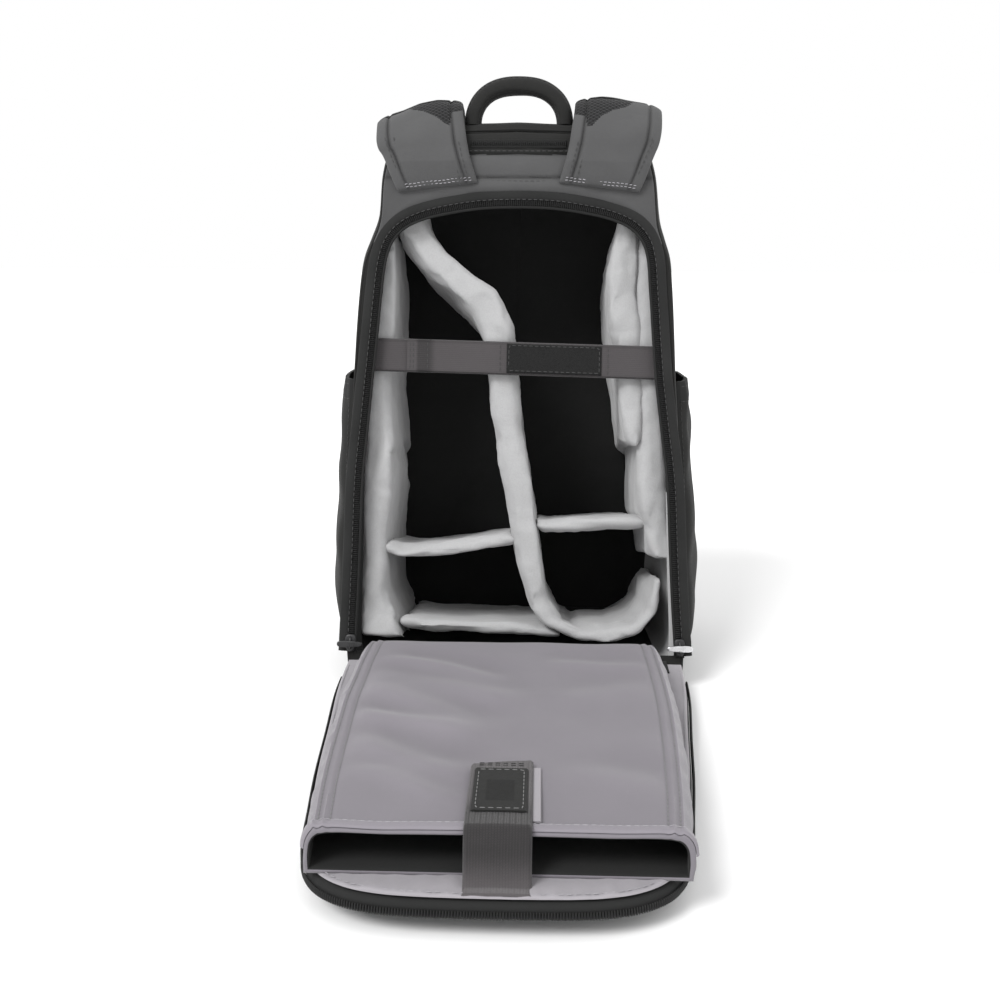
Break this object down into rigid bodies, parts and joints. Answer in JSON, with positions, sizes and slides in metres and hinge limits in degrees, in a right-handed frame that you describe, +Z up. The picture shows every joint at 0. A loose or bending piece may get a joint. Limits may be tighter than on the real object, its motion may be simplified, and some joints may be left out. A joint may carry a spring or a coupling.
{
  "type": "camera backpack",
  "caption": "Rear-access camera backpack standing open: padded compartment with dividers, dropped back panel with laptop sleeve, flipped shoulder straps and a grab handle.",
  "frame": {"origin": "middle of the base panel's underside, on the ground", "axes": "+X to the right of someone facing the opened back, +Y from the opened back into the pack, +Z up"},
  "size_m": [0.2872, 0.5678, 0.4623],
  "materials": {
    "black_fabric": "black woven polyester, matt",
    "shell_fabric": "charcoal woven polyester with a faint sheen",
    "grey_fabric": "mid grey woven polyester, stitched",
    "liner_fabric": "light grey brushed loop knit over foam",
    "lining_fabric": "light grey plain woven lining",
    "sleeve_fabric": "purple-grey woven lining over foam, soft sheen",
    "webbing": "warm grey polyester webbing",
    "hook_loop": "black hook-and-loop tape",
    "air_mesh": "black open spacer mesh",
    "zip": "black nylon coil zip on woven tape",
    "dark_hardware": "black moulded acetal and painted zinc",
    "bright_hardware": "bright satin zinc"
  },
  "bodies": {
    "root": {"base_panel": "black_fabric", "body_shell": "shell_fabric", "compartment_liner": "black_fabric", "front_panel": "shell_fabric", "yoke_panel": "grey_fabric", "top_zip": "zip", "top_panel": "grey_fabric", "zip_tape_body": "zip", "zip_coil_body": "zip", "zip_slider_left": "dark_hardware", "zip_pull_left": "dark_hardware", "zip_slider_right": "bright_hardware", "zip_pull_right": "bright_hardware", "side_pocket_left": "shell_fabric", "side_pocket_right": "shell_fabric", "side_pad_left": "liner_fabric", "side_pad_right": "liner_fabric", "side_pad_right_upper": "liner_fabric", "divider_main": "liner_fabric", "divider_upper_left": "liner_fabric", "divider_lower_left": "liner_fabric", "divider_lens": "liner_fabric", "stabiliser_strap_left": "webbing", "stabiliser_strap_right": "webbing", "hook_loop_patch": "hook_loop", "back_pad_left": "air_mesh", "back_pad_right": "air_mesh", "flap_panel": "black_fabric", "flap_lining": "lining_fabric", "flap_zip_tape": "zip", "flap_zip_coil": "zip", "hinge_fabric": "black_fabric", "laptop_sleeve": "sleeve_fabric", "sleeve_hem": "sleeve_fabric", "laptop_strap": "webbing", "laptop_strap_backing": "lining_fabric", "strap_patch": "hook_loop", "strap_base_left": "grey_fabric", "strap_pad_left": "air_mesh", "ladder_lock_left": "dark_hardware", "strap_webbing_left": "webbing", "strap_anchor_left": "webbing", "strap_base_right": "grey_fabric", "strap_pad_right": "air_mesh", "ladder_lock_right": "dark_hardware", "strap_webbing_right": "webbing", "strap_anchor_right": "webbing", "top_handle": "black_fabric"}
  },
  "joints": []
}
